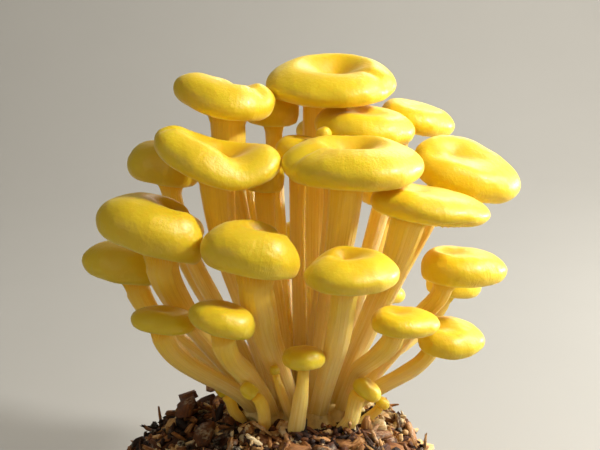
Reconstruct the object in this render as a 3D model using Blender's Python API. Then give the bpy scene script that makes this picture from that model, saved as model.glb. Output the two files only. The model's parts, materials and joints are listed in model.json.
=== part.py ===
"""Golden oyster mushroom cluster growing out of a lump of wood-chip substrate.

Run it with: blender --background --python part.py

Every length below is in millimetres, and a mesh is turned to metres as it is made. +Z is up and -Y is the
front. The origin is the middle of the flat underside of the substrate.

Each mushroom is one closed solid, because cap and stem grow as one piece. Its surface is a stack of rings:
the cap's top from its middle out to the margin, the underside from the margin in to the neck, and the stem
from the neck down to the foot. All the stems stand on one fused butt, which sits in the substrate.
"""

import math
from typing import NamedTuple

import bpy
import numpy as np
from mathutils import Vector
from mathutils.bvhtree import BVHTree

METRE = 0.001  # one millimetre, in metres
GAP = 0.3  # clearance between neighbouring solids

# The substrate, and the butt that the stems share.
AXIS = np.array([6.5, 1.0])  # where the cluster's axis stands, x and y
CRATER_FLOOR = 40.0  # height of the flat seat in the substrate's top
CRATER_HALF = 22.5
SUBSTRATE_HALF = 49.0  # half the width of the lump at its widest
CHIPS = 12  # larger splinters that lie loose on the substrate
BUTT_FOOT_HALF = 15.5
BUTT_HALF = 20.0
FOOT_LEVEL = 46.3  # height of the feet that stand on the butt

# How the stems are grown.
PATH_POINTS = 20  # points on each stem's centreline, foot first
PACKING_STEPS = 240
STEM_CLEARANCE = 0.9  # least room kept between two stems
NECK_SHARE = 0.40  # length of the straight neck under a cap, as a share of the cap's thickness


class Mushroom(NamedTuple):
    """One mushroom of the cluster."""

    name: str
    cap: tuple  # middle of the cap's margin: x, y, z
    half: tuple  # half-widths of the cap along x and y
    thick: float  # height from the margin's edge to the crown
    dimple: float  # how far the middle of the top sinks, as a share of thick
    lean: tuple  # degrees that the cap's axis leans to +x and to +y
    off: tuple  # where the stem sits under the cap, as shares of the half-widths
    stem: tuple  # stem radius at the neck and at the foot
    sag: tuple = (0.0, 0.0)  # saddle: share of the half-width, and the azimuth of its high ends
    foot: tuple = ()  # x, y of a foot that has a place of its own
    hollow: tuple = ()  # where the dimple is, like off. It is over the stem when this is empty


CLUSTER = [
    # The crown of the cluster.
    Mushroom("top_centre", (15.8, 26, 137.5), (20, 17), 9.6, 0.62, (1, -10), (-0.22, 0.44), (4.3, 2.7), hollow=(0.05, 0.25)),
    Mushroom("top_left", (-17.4, 13, 134), (15.3, 12.5), 10.2, 0.40, (11, 4), (0.15, 0.1), (4.8, 2.9), (0.10, 0)),
    Mushroom("top_left_small", (-3, 34, 127), (9, 8), 10.5, 0.15, (2, -2), (0.1, 0), (2.8, 2.1)),
    Mushroom("upper_right", (25.2, 19, 125), (15.4, 12.5), 9.3, 0.20, (8, -3), (-0.1, 0), (4.0, 2.5)),
    Mushroom("back_right", (42.3, 38, 123.9), (12.4, 11), 8.5, 0.15, (12, 0), (-0.3, 0), (3.3, 2.3)),
    Mushroom("right_large", (55.5, 14, 112.5), (17.2, 12.9), 10.6, 0.30, (18, -20), (-0.3, 0.05), (4.0, 2.5)),
    # The middle tier.
    Mushroom("centre_large", (21.5, -9, 118.4), (20.8, 16.5), 10.6, 0.50, (1, -3), (-0.1, 0), (5.2, 3.1), hollow=(0, 0.25)),
    Mushroom("upper_left", (-19.5, -7, 119.5), (18.8, 14.5), 11.2, 0.70, (12, 3), (0.1, 0.2), (4.8, 2.9), (0.14, 0)),
    Mushroom("upper_left_back", (-36.5, 18, 112), (11.6, 10.5), 11.8, 0.10, (8, 0), (0.3, 0), (3.3, 2.3)),
    Mushroom("left_hidden", (-5.2, 9.8, 110.8), (6.4, 6.2), 9.5, 0.15, (4, 0), (0.1, 0), (3.0, 2.2)),
    Mushroom("small_centre_back", (5.5, 13, 120), (7.0, 6.2), 6.5, 0.15, (4, 0), (0, 0), (2.5, 2.0)),
    Mushroom("right_mid", (44, -10, 107), (17.3, 13.5), 8.0, 0.15, (8, 0), (-0.35, 0), (4.6, 2.9)),
    Mushroom("left_big", (-38.6, -15.2, 99.6), (16.8, 13), 14.0, 0.30, (16, 0), (0.35, 0.1), (5.0, 2.9), hollow=(0.35, 0.30)),
    Mushroom("front_left", (-8.3, -25, 95.5), (14.9, 12.5), 12.8, 0.38, (9, 0), (0.15, 0), (5.2, 3.1), hollow=(0.22, 0.25)),
    Mushroom("front_right", (20.2, -29, 92), (14.4, 12.5), 8.5, 0.38, (1, -3), (-0.1, 0), (4.1, 3.0), hollow=(-0.1, 0.40)),
    # The outer and lower ring.
    Mushroom("left_low_back", (-48.5, 12, 82.7), (12.5, 11), 10.8, 0.10, (8, 0), (0.4, 0), (3.5, 2.3)),
    Mushroom("right_low", (55.3, 1, 84.7), (13.3, 10.5), 9.2, 0.20, (3, 0), (-0.45, 0), (3.2, 2.4)),
    Mushroom("right_low_back", (54.5, 28, 72.3), (8.8, 8), 9.0, 0.15, (8, 4), (-0.35, 0), (2.7, 2.1)),
    Mushroom("right_small", (36.5, -21, 75.6), (10.1, 8.5), 6.0, 0.15, (4, -3), (-0.3, 0), (3.2, 2.4)),
    Mushroom("right_lowest", (51, -6, 65.8), (10.4, 9.0), 7.5, 0.20, (6, -13), (-0.55, 0), (2.7, 2.4)),
    Mushroom("left_low", (-33.7, -22, 76.6), (9.6, 8), 5.8, 0.10, (6, 0), (0, -0.1), (3.2, 2.4)),
    Mushroom("left_mid_low", (-17, -32.5, 79.5), (10, 8.5), 7.4, 0.05, (15, 0), (0.2, 0), (3.8, 2.7), foot=(-1, -13)),
    Mushroom("tiny_front", (7, -26, 66.5), (6.5, 5.8), 5.2, 0.0, (0, 0), (0, 0), (1.8, 2.6), foot=(4.5, -18.5)),
    # Buds and clubs.
    Mushroom("bud_high", (13.6, 8.2, 126.8), (2.4, 2.2), 3.5, 0.0, (-20, 0), (0, 0), (1.5, 1.6)),
    Mushroom("club_right", (25, -15.6, 54), (4.6, 3.6), 4.4, 0.0, (38, -12), (-0.2, 0), (2.3, 2.3), foot=(17.6, -16.2)),
    Mushroom("bud_right", (30.2, -11, 48.5), (2.2, 2.0), 2.8, 0.0, (35, 0), (0, 0), (1.3, 1.5), foot=(21.5, -10.5)),
    Mushroom("club_left", (-16.4, -9.5, 51.8), (2.1, 2.0), 4.6, 0.0, (-34, -4), (0, 0), (1.7, 1.9), foot=(-11, -7)),
    Mushroom("young_left", (-7.4, -25.8, 57.2), (2.3, 2.1), 4.8, 0.0, (-46, -6), (0, 0), (1.7, 2.0), foot=(-4.5, -16)),
    Mushroom("pin_front", (-1.2, -20.5, 62), (1.5, 1.4), 2.6, 0.0, (-12, 0), (0, 0), (1.1, 1.5), foot=(2, -13.5)),
    # The far side.
    Mushroom("back_high", (18, 50, 117.5), (13.5, 12), 8.5, 0.35, (2, 8), (0, -0.2), (3.7, 2.5)),
    Mushroom("back_left", (-13, 45, 107), (13, 11.5), 8.5, 0.30, (-5, 8), (0.1, -0.2), (3.5, 2.4)),
    Mushroom("back_left_low", (-35, 36, 88), (10.5, 9.5), 7.5, 0.20, (-5, 6), (0.3, -0.2), (3.0, 2.2)),
    Mushroom("back_middle", (10, 52, 83), (12, 10.5), 7.5, 0.25, (0, 10), (0, -0.3), (3.3, 2.4)),
    Mushroom("back_right_mid", (37, 46, 97), (11.5, 10), 7.5, 0.30, (6, 8), (-0.2, -0.2), (3.2, 2.2)),
    Mushroom("back_low", (-9, 46, 71), (9, 8), 6.5, 0.10, (-3, 8), (0, -0.3), (2.7, 2.2)),
    Mushroom("back_right_low", (32, 42, 66), (8, 7.5), 6.0, 0.10, (5, 8), (-0.2, -0.2), (2.5, 2.1)),
]

# Rings of a cap: (reach as a share of the half-width, height as a share of thick).
CAP_TOP = [(0.24, 1.0), (0.46, 0.99), (0.66, 0.93), (0.84, 0.78), (0.965, 0.56), (1.0, 0.36)]
CAP_UNDER = [(0.95, 0.12), (0.82, 0.0), (0.62, 0.11), (0.38, 0.02)]
DIMPLE_REACH = 0.56  # the dimple's edge, as a share of the half-width
COLUMNS = [(11.0, 12), (5.0, 10), (0.0, 8)]  # a cap at least this half-width has this many columns


def clear_scene():
    """Removes everything that the scene starts with."""
    for thing in list(bpy.data.objects):
        bpy.data.objects.remove(thing)


def finish(name, colour, roughness):
    """A Principled material of one colour."""
    material = bpy.data.materials.new(name)
    material.use_nodes = True
    shader = material.node_tree.nodes["Principled BSDF"]
    shader.inputs["Base Color"].default_value = (*colour, 1.0)
    shader.inputs["Roughness"].default_value = roughness
    shader.inputs["Metallic"].default_value = 0.0
    return material


def closed_stack(name, rings, first, last, material):
    """A closed mesh: rings is (rows, columns, 3), and first and last are the points that close its ends."""
    rows, columns = rings.shape[:2]
    points = np.concatenate([rings.reshape(-1, 3), [first], [last]]) * METRE
    faces = []
    for row in range(rows - 1):
        for column in range(columns):
            beside = (column + 1) % columns
            a = row * columns
            b = a + columns
            faces.append((a + column, b + column, b + beside, a + beside))
    top = rows * columns
    end = (rows - 1) * columns
    for column in range(columns):
        beside = (column + 1) % columns
        faces.append((top, column, beside))
        faces.append((top + 1, end + beside, end + column))
    mesh = bpy.data.meshes.new(name)
    mesh.from_pydata(points.tolist(), [], faces)
    mesh.materials.append(material)
    mesh.shade_smooth()
    solid = bpy.data.objects.new(name, mesh)
    bpy.context.scene.collection.objects.link(solid)
    return solid


def unit(vector):
    """The vector at length 1. It also takes an array of vectors."""
    return vector / np.linalg.norm(vector, axis=-1, keepdims=True)


def cap_frame(m):
    """The cap's own axes: across to +x, across to +y, and up through its middle."""
    up = unit(np.array([math.tan(math.radians(m.lean[0])), math.tan(math.radians(m.lean[1])), 1.0]))
    across = unit(np.array([1.0, 0.0, 0.0]) - up[0] * up)
    return np.array([across, np.cross(up, across), up])


def attachment(m):
    """Where the stem meets the cap, in the cap's frame."""
    return np.array([m.off[0] * m.half[0], m.off[1] * m.half[1], 0.0])


def crown_middle(m):
    """The middle of the cap's top, in the cap's frame, at the margin's height."""
    place = m.hollow or m.off
    return np.array([place[0] * m.half[0], place[1] * m.half[1], 0.0])


def neck(m):
    """The lower end of the straight neck under the cap."""
    point = attachment(m) - np.array([0.0, 0.0, NECK_SHARE * m.thick])
    return np.array(m.cap) + point @ cap_frame(m)


def stands_on_butt(m):
    """True for a foot on the butt, and false for one in the substrate beside it."""
    return not m.foot or np.linalg.norm(np.array(m.foot) - AXIS) < BUTT_HALF - 2.0


def first_foot(m):
    """Where the foot starts: on the side of the butt that its cap is on, further out for a lower cap."""
    if m.foot:
        return np.array([*m.foot, FOOT_LEVEL if stands_on_butt(m) else CRATER_FLOOR + GAP])
    reach = np.array(m.cap[:2]) - AXIS
    out = np.linalg.norm(reach)
    fall = math.atan2(out, m.cap[2] - FOOT_LEVEL)
    share = min(1.0, fall / math.radians(58.0))
    return np.array([*(AXIS + reach / out * share * (BUTT_HALF - 3.2)), FOOT_LEVEL])


def first_path(m):
    """A curve that leaves the foot part upright and part outward, and meets the neck half along the cap's axis."""
    start, end = first_foot(m), neck(m)
    reach = end - start
    along = np.linalg.norm(reach)
    fall = math.atan2(np.linalg.norm(reach[:2]), reach[2])
    tilt = min(math.radians(58.0), 0.85 * fall)
    outward = unit(np.array([reach[0], reach[1], 0.0]) + 1e-6)
    leave = start + (np.array([0.0, 0.0, math.cos(tilt)]) + outward * math.sin(tilt)) * 0.38 * along
    arrive = end - unit(0.45 * cap_frame(m)[2] + 0.55 * reach / along) * 0.34 * along
    t = np.linspace(0.0, 1.0, PATH_POINTS)[:, None]
    s = 1.0 - t
    return s**3 * start + 3 * s * s * t * leave + 3 * s * t * t * arrive + t**3 * end


def stem_radii(m):
    """Radius at each point of the path: wide at the neck, slimmest below it, and a little wider at the foot."""
    t = np.linspace(0.0, 1.0, PATH_POINTS)
    at_neck, at_foot = m.stem
    return at_foot + (at_neck - at_foot) * t**1.6


def pack_stems(cluster):
    """Centreline of each stem, pushed clear of the other stems and of the other caps.

    Each step moves every pair of points that are too near part of the way apart, moves a point that is inside
    another cap out sideways, and smooths how far each centreline has moved from its first curve. The neck and
    the point under it stay where they are.
    """
    first = np.array([first_path(m) for m in cluster])
    radii = np.array([stem_radii(m) for m in cluster])
    count = len(cluster)
    owner = np.repeat(np.arange(count), PATH_POINTS)
    same = owner[:, None] == owner[None, :]
    need = radii.reshape(-1)[:, None] + radii.reshape(-1)[None, :] + STEM_CLEARANCE
    frames = [cap_frame(m) for m in cluster]
    paths = first.copy()
    for _ in range(PACKING_STEPS):
        flat = paths.reshape(-1, 3)
        apart = flat[:, None, :] - flat[None, :, :]
        distance = np.linalg.norm(apart, axis=2) + 1e-9
        push = np.clip(need - distance, 0.0, None)
        push[same] = 0.0
        moved = (apart / distance[..., None] * push[..., None] * 0.35).sum(axis=1)
        moved = moved.reshape(count, PATH_POINTS, 3)
        for j, m in enumerate(cluster):
            moved += out_of_cap(paths, radii, m, frames[j], j)
        length = np.linalg.norm(moved, axis=2, keepdims=True)
        moved *= np.minimum(1.0, 1.5 / np.maximum(length, 1e-9))
        moved[:, 0, 2] = 0.0
        moved[:, -2:] = 0.0
        drift = paths + moved - first
        bend = drift[:, :-2] + drift[:, 2:] - 2 * drift[:, 1:-1]
        bend[:, -1] = 0.0
        drift[:, 1:-1] += 0.30 * bend
        paths = first + drift
        keep_off_butt(paths, radii, cluster)
    return paths, radii


def out_of_cap(paths, radii, m, frame, index):
    """How far each path point has to move sideways to leave mushroom m's cap, as a flattened ball."""
    local = (paths - np.array(m.cap)) @ frame.T
    local[..., 2] -= 0.5 * m.thick
    room = radii[..., None] + STEM_CLEARANCE
    shares = local / (np.array([m.half[0], m.half[1], 0.5 * m.thick]) + room)
    inside = np.linalg.norm(shares, axis=2)
    depth = np.clip(1.0 - inside, 0.0, None) * min(m.half)
    depth[index] = 0.0
    sideways = np.concatenate([local[..., :2], np.zeros_like(local[..., :1])], axis=2)
    sideways /= np.linalg.norm(sideways, axis=2, keepdims=True) + 1e-9
    return (sideways * depth[..., None] * 0.5) @ frame


def butt_half(height):
    """Half-width of the butt at a height: it widens upward from its foot in the substrate."""
    rise = np.clip((height - CRATER_FLOOR) / (FOOT_LEVEL - CRATER_FLOOR), 0.0, 1.0)
    return BUTT_FOOT_HALF + (BUTT_HALF - BUTT_FOOT_HALF) * rise


def keep_off_butt(paths, radii, cluster):
    """Keeps a foot on the butt inside its edge, and a stem that stands beside the butt outside it."""
    for j, m in enumerate(cluster):
        reach = paths[j, :, :2] - AXIS
        out = np.maximum(np.linalg.norm(reach, axis=1), 1e-9)
        if stands_on_butt(m):
            share = min(1.0, (BUTT_HALF - 0.4 - radii[j, 0]) / out[0])
            paths[j, 0, :2] = AXIS + reach[0] * share
            lowest = FOOT_LEVEL + GAP + radii[j, 1:4] * np.array([0.5, 0.8, 1.0])
            paths[j, 1:4, 2] = np.maximum(paths[j, 1:4, 2], lowest)
        else:
            beside = paths[j, :, 2] < FOOT_LEVEL + radii[j]
            least = butt_half(paths[j, :, 2]) + radii[j] * 1.25 + 2 * GAP
            share = np.where(beside, np.maximum(1.0, least / out), 1.0)
            paths[j, :, :2] = AXIS + reach * share[:, None]


def cap_rings(m, angles):
    """The cap's rings in the row's frame, from the ring next to its middle down to the last one of the underside."""
    frame, half = cap_frame(m), np.array(m.half)
    around = np.stack([np.cos(angles), np.sin(angles)], axis=1)
    lobes = margin_lobes(m, angles)
    rings = []
    for reach, height in CAP_TOP + CAP_UNDER:
        hold = crown_middle(m) if (reach, height) in CAP_TOP else attachment(m)
        share = min(1.0, reach / DIMPLE_REACH)
        sunk = m.dimple * (1.0 - share) ** 2 * (1.0 + 1.4 * share) if height > 0.9 else 0.0
        flat = hold[:2] * (1.0 - reach) + reach * around * half * lobes[:, None]
        rise = m.thick * (height - sunk) + saddle(m, flat)
        rings.append(np.array(m.cap) + np.column_stack([flat, rise]) @ frame)
    return np.array(rings)


def margin_lobes(m, angles):
    """The margin isn't a true ellipse: two, three and five soft lobes, turned by a phase from the name."""
    phase = 0.7 * sum(ord(letter) for letter in m.name)
    lobes = 0.030 * np.cos(2 * angles + phase) + 0.022 * np.cos(3 * angles + 2.3 * phase)
    return 1.0 + lobes + 0.010 * np.cos(5 * angles + 4.1 * phase)


def saddle(m, flat):
    """Height that a point of the cap gains by the saddle: up along its azimuth, down across it."""
    share, azimuth = m.sag[0], math.radians(m.sag[1])
    reach = flat / np.array(m.half)
    turned = np.arctan2(reach[:, 1], reach[:, 0]) - azimuth
    return share * m.half[0] * np.cos(2 * turned) * (reach**2).sum(axis=1)


def path_frames(path, across):
    """Two axes across each point of a path: each pair is the last one turned to the path's new direction."""
    frames = []
    for direction in unit(np.gradient(path, axis=0)):
        across = unit(across - (across @ direction) * direction)
        frames.append((across, np.cross(across, direction)))
    return frames


def stem_rings(path, radii, frame, angles):
    """Rings down the stem, from the neck to the foot. The last one is level, because it stands on something."""
    rows = [19, 16, 12, 8, 4, 0]
    frames = path_frames(path[::-1], frame[0])[::-1]
    rings = []
    for row in rows:
        across, side = frames[row]
        if row == 0:
            across, side = unit(across * [1, 1, 0]), unit(side * [1, 1, 0])
            side = np.array([-across[1], across[0], 0.0])
        rings.append(path[row] + radii[row] * (np.cos(angles)[:, None] * across + np.sin(angles)[:, None] * side))
    return np.array(rings)


def grow_mushroom(m, path, radii, material):
    """One mushroom: cap, neck and stem as one closed solid."""
    columns = next(number for least, number in COLUMNS if m.half[0] >= least)
    angles = np.linspace(0.0, 2 * math.pi, columns, endpoint=False)
    cap = cap_rings(m, angles)
    stem = stem_rings(path, radii, cap_frame(m), angles)
    middle = np.array(m.cap) + (crown_middle(m) + [0, 0, m.thick * (1 - m.dimple)]) @ cap_frame(m)
    return closed_stack(m.name, np.concatenate([cap, stem]), middle, path[0], material)


def waves(angles, seed):
    """An uneven closed line: five cosines with phases of the seed's own. It stays within about 1 of zero."""
    total = np.zeros_like(angles)
    for turns in (2, 3, 5, 7, 9):
        total += np.cos(turns * angles + seed * 2.4 * turns) / turns**0.6
    return total / 1.6


def grow_butt(material):
    """The fused mass that the stems share: an uneven plug, wider at its top, with a furrow between lobes."""
    angles = np.linspace(0.0, 2 * math.pi, 18, endpoint=False)
    rings = []
    levels = [(0.5, FOOT_LEVEL - GAP), (0.97, FOOT_LEVEL - GAP), (1.0, FOOT_LEVEL - 0.9)]
    levels += [(None, FOOT_LEVEL - 3.0), (None, CRATER_FLOOR + 1.2), (None, CRATER_FLOOR + GAP)]
    for share, height in levels:
        half = butt_half(height) if share is None else BUTT_HALF * share
        half = half * (1.0 + 0.02 * waves(angles, 3.0)) - (0.3 if height < CRATER_FLOOR + 1 else 0.0)
        ring = np.column_stack([AXIS[0] + half * np.cos(angles), AXIS[1] + half * np.sin(angles)])
        rings.append(np.column_stack([ring, np.full(len(angles), height)]))
    top = [*AXIS, FOOT_LEVEL - GAP]
    return closed_stack("fused_butt", np.array(rings), top, [*AXIS, CRATER_FLOOR + GAP], material)


def grow_substrate(material):
    """The lump of wood chips: a flat underside, bulging sides, an uneven top and a flat seat for the butt."""
    angles = np.linspace(0.0, 2 * math.pi, 28, endpoint=False)
    # Each ring: half-width, height, how far its middle is from the axis to the origin, unevenness in and up.
    levels = [
        (12.0, CRATER_FLOOR, 0.0, 0.0, 0.0),
        (CRATER_HALF, CRATER_FLOOR, 0.0, 0.0, 0.0),
        (26.5, 40.6, 0.15, 0.5, 0.4),
        (31.5, 40.8, 0.5, 0.8, 0.8),
        (37.5, 38.6, 0.9, 1.0, 1.0),
        (42.5, 33.0, 1.0, 1.2, 1.2),
        (46.0, 25.5, 1.0, 1.3, 1.0),
        (SUBSTRATE_HALF, 15.5, 1.0, 1.3, 1.0),
        (48.0, 5.5, 1.0, 1.0, 0.5),
        (45.0, 0.0, 1.0, 0.8, 0.0),
    ]
    rings = []
    for row, (half, height, share, rough_in, rough_up) in enumerate(levels):
        middle = AXIS * (1.0 - share)
        out = half + rough_in * waves(angles, 1.3 + 0.9 * row)
        x = middle[0] + out * np.cos(angles)
        y = middle[1] + out * np.sin(angles)
        fall = share * (1.0 - share) * 4.0 if share < 1.0 else (1.0 if height > 30 else 0.3)
        slope = -1.6 * fall * np.cos(angles) * (height > CRATER_FLOOR - 12) * (share > 0)
        z = height + rough_up * waves(angles, 4.1 + 1.7 * row) + slope
        rings.append(np.column_stack([x, y, z]))
    return closed_stack("substrate", np.array(rings), [*AXIS, CRATER_FLOOR], [0.0, 0.0, 0.0], material)


def grow_chip(index, ground, material):
    """A flat splinter of wood lying on the substrate, just clear of it."""
    share = (index * 0.618034) % 1.0
    azimuth = index * 2.399963 + 0.5
    reach = 28.5 + 8.5 * share
    place = np.array([AXIS[0] * 0.6 + reach * math.cos(azimuth), AXIS[1] + reach * math.sin(azimuth)])
    long, wide, tall = 4.2 + 2.6 * share, 2.2 + 1.0 * ((index * 0.37) % 1.0), 0.9 + 0.6 * ((index * 0.71) % 1.0)
    under, normal, _, _ = ground.ray_cast(Vector((*(place * METRE), 0.2)), Vector((0, 0, -1)))
    up = np.array(normal)
    along = np.array([math.cos(index * 1.9), math.sin(index * 1.9), 0.0])
    along = unit(along - (along @ up) * up)
    frame = np.array([along, np.cross(up, along), up])
    # Four corners below and four above, drawn in at one end as a split piece is.
    corners = np.array([(-long, -wide), (long, -0.6 * wide), (0.8 * long, 0.7 * wide), (-0.9 * long, wide)])
    lower = np.column_stack([corners, np.full(4, -tall)])
    upper = np.column_stack([corners * 0.9, np.full(4, tall)])
    upper[1:3, 2] *= 0.5
    middle = np.array(under) / METRE + up * (tall + 2 * GAP)
    s, t = np.meshgrid(np.linspace(0, 1, 9), np.linspace(0, 1, 9))
    s, t = s.reshape(-1, 1), t.reshape(-1, 1)
    near = lower[0] * (1 - s) + lower[1] * s
    far = lower[3] * (1 - s) + lower[2] * s
    bottom = middle + (near * (1 - t) + far * t) @ frame
    room = []
    for x, y, z in bottom:
        hit = ground.ray_cast(Vector((x * METRE, y * METRE, 0.2)), Vector((0, 0, -1)))[0]
        room.append(z - hit[2] / METRE)
    middle = middle + [0.0, 0.0, 1.5 * GAP - min(room)]
    points = middle + np.concatenate([upper, lower]) @ frame
    faces = [(0, 1, 2, 3), (7, 6, 5, 4), (0, 4, 5, 1), (1, 5, 6, 2), (2, 6, 7, 3), (3, 7, 4, 0)]
    name = f"wood_chip_{index + 1:02d}"
    mesh = bpy.data.meshes.new(name)
    mesh.from_pydata((points * METRE).tolist(), [], faces)
    mesh.materials.append(material)
    chip = bpy.data.objects.new(name, mesh)
    bpy.context.scene.collection.objects.link(chip)


def main():
    clear_scene()
    flesh = finish("mushroom_flesh", (0.93, 0.72, 0.10), 0.45)
    pale = finish("pale_butt", (0.90, 0.82, 0.55), 0.55)
    block = finish("packed_wood", (0.22, 0.12, 0.07), 0.85)
    loose = finish("loose_wood", (0.45, 0.28, 0.15), 0.75)
    substrate = grow_substrate(block)
    ground = BVHTree.FromPolygons(
        [v.co for v in substrate.data.vertices], [p.vertices for p in substrate.data.polygons]
    )
    for index in range(CHIPS):
        grow_chip(index, ground, loose)
    grow_butt(pale)
    paths, radii = pack_stems(CLUSTER)
    for m, path, radius in zip(CLUSTER, paths, radii, strict=True):
        grow_mushroom(m, path, radius, flesh)


main()
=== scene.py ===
# %% [markdown]
# # A cluster of golden oyster mushrooms
#
# This lesson builds a bunch of golden oyster mushrooms on a lump of wood-chip substrate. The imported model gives
# every solid its size and place. Here each solid gets the surface that the eye sees: caps with dimples and rolled
# margins, gills, ribbed stems, a fused butt, and a mound of splintered wood.
#
# Lengths below are in millimetres. They are turned into metres only when a mesh is made.

import json
import math
from typing import NamedTuple

import bpy
import numpy as np
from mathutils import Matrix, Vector

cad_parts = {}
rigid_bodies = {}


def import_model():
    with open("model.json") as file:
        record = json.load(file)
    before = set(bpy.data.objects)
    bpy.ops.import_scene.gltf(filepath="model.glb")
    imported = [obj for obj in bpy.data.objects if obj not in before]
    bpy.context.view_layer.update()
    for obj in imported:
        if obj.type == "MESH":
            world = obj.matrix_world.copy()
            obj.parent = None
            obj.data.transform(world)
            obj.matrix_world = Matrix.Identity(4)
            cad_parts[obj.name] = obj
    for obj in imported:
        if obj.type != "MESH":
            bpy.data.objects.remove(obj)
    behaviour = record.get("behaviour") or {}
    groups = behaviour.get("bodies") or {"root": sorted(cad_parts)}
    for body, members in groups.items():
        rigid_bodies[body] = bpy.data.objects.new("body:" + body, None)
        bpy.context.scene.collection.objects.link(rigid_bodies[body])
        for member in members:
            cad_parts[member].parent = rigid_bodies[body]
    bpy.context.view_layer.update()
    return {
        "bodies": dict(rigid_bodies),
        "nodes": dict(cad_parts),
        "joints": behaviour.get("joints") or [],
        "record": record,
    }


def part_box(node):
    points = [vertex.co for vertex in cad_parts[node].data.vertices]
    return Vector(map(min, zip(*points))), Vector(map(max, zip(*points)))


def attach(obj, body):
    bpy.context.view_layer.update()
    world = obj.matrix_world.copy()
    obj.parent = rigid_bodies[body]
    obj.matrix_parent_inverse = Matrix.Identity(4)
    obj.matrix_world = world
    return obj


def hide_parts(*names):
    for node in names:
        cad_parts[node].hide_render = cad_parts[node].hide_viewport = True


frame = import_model()
METRE = 0.001
TURN = 2.0 * math.pi
print("solids in the packed model:", len(frame["nodes"]))

# %% [markdown]
# ## Camera, floor and light
#
# The camera looks slightly down on the cluster from the front. The key light is small and near, above the right
# side and a little in front, so it is strong on the right caps and fades to the left ones. A low light from
# behind at the right slips under the caps and draws a bright edge down the stems. A big warm fill on the left
# keeps the shade golden, one light behind lifts the far side, and one is for the backdrop alone.

# %% Camera
ELEVATION = math.radians(14.0)
DISTANCE = 520.0
TARGET = np.array([6.0, 0.0, 102.0])

view = np.array([0.0, math.cos(ELEVATION), -math.sin(ELEVATION)])
camera = bpy.data.objects.new("camera", bpy.data.cameras.new("camera"))
camera.data.lens = 104.0
camera.data.sensor_width = 36.0
camera.data.clip_start = 0.01
camera.data.clip_end = 20.0
camera.location = (TARGET - DISTANCE * view) * METRE
camera.rotation_euler = Vector(view).to_track_quat("-Z", "Y").to_euler()
bpy.context.scene.collection.objects.link(camera)
bpy.context.scene.camera = camera
bpy.context.scene.view_settings.view_transform = "Standard"


# %% Lights
def soft_light(name, place, aim, size, power, colour):
    """A round lamp at place, turned to aim. Both places and its size, the width of the disc, are in metres."""
    lamp = bpy.data.lights.new(name, "AREA")
    lamp.shape = "DISK"
    lamp.size = size
    lamp.energy = power
    lamp.color = colour
    light = bpy.data.objects.new(name, lamp)
    light.location = place
    light.rotation_euler = (Vector(aim) - Vector(place)).to_track_quat("-Z", "Y").to_euler()
    bpy.context.scene.collection.objects.link(light)


MIDDLE = (0.005, 0.0, 0.09)  # what the lights are turned to, in metres
soft_light("key", (0.315, -0.075, 0.37), MIDDLE, 0.07, 2.0, (1.0, 0.98, 0.93))
soft_light("edge", (0.55, 0.26, 0.16), MIDDLE, 0.05, 3.4, (1.0, 0.97, 0.90))
soft_light("wall", (1.1, 0.30, 0.9), (0.1, 1.0, 0.35), 0.3, 9.0, (1.0, 0.98, 0.95))
soft_light("fill", (-0.70, -0.80, 0.55), MIDDLE, 0.9, 1.4, (1.0, 0.92, 0.78))
soft_light("back", (0.30, 0.75, 0.60), MIDDLE, 0.4, 3.0, (1.0, 0.95, 0.86))

world = bpy.data.worlds.new("studio")
world.use_nodes = True
glow = world.node_tree.nodes["Background"].inputs
glow["Color"].default_value = (1.0, 0.90, 0.72, 1.0)
glow["Strength"].default_value = 0.19
bpy.context.scene.world = world

# %% [markdown]
# ## Putting a surface into a mesh
#
# Almost every piece here is a stack of closed rings, like a turned vase: row after row of points, each row joined
# to the next, with one point to close each end. One helper makes the faces of such a stack from whole arrays, and
# one puts any number of them into a mesh with foreach_set.


# %% Mesh helpers
def stack_faces(rows, columns, start=0):
    """Quads and end triangles of a stack of rings.

    Point (row, column) has number start + row * columns + column. The first end point follows the last ring and
    the second end point follows that. Quads join each ring to the next one, the way that makes them face out when
    the rings run down and each ring runs anticlockwise seen from above.
    """
    column = np.arange(columns)
    beside = (column + 1) % columns
    upper = start + np.arange(rows - 1)[:, None] * columns
    lower = upper + columns
    quads = np.stack([upper + column, lower + column, lower + beside, upper + beside], axis=-1).reshape(-1, 4)
    top, bottom = start + rows * columns, start + rows * columns + 1
    end = start + (rows - 1) * columns
    first = np.stack([np.full(columns, top), start + column, start + beside], axis=-1)
    last = np.stack([np.full(columns, bottom), end + beside, end + column], axis=-1)
    return quads, np.concatenate([first, last])


def closed_stack(rings, first=None, last=None):
    """Points, quads and triangles of a stack of rings (row, column, 3), closed by two end points.

    An end point that isn't given is the middle of its ring.
    """
    ends = [rings[0].mean(axis=0) if first is None else first, rings[-1].mean(axis=0) if last is None else last]
    return np.concatenate([rings.reshape(-1, 3), ends]), *stack_faces(*rings.shape[:2])


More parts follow.
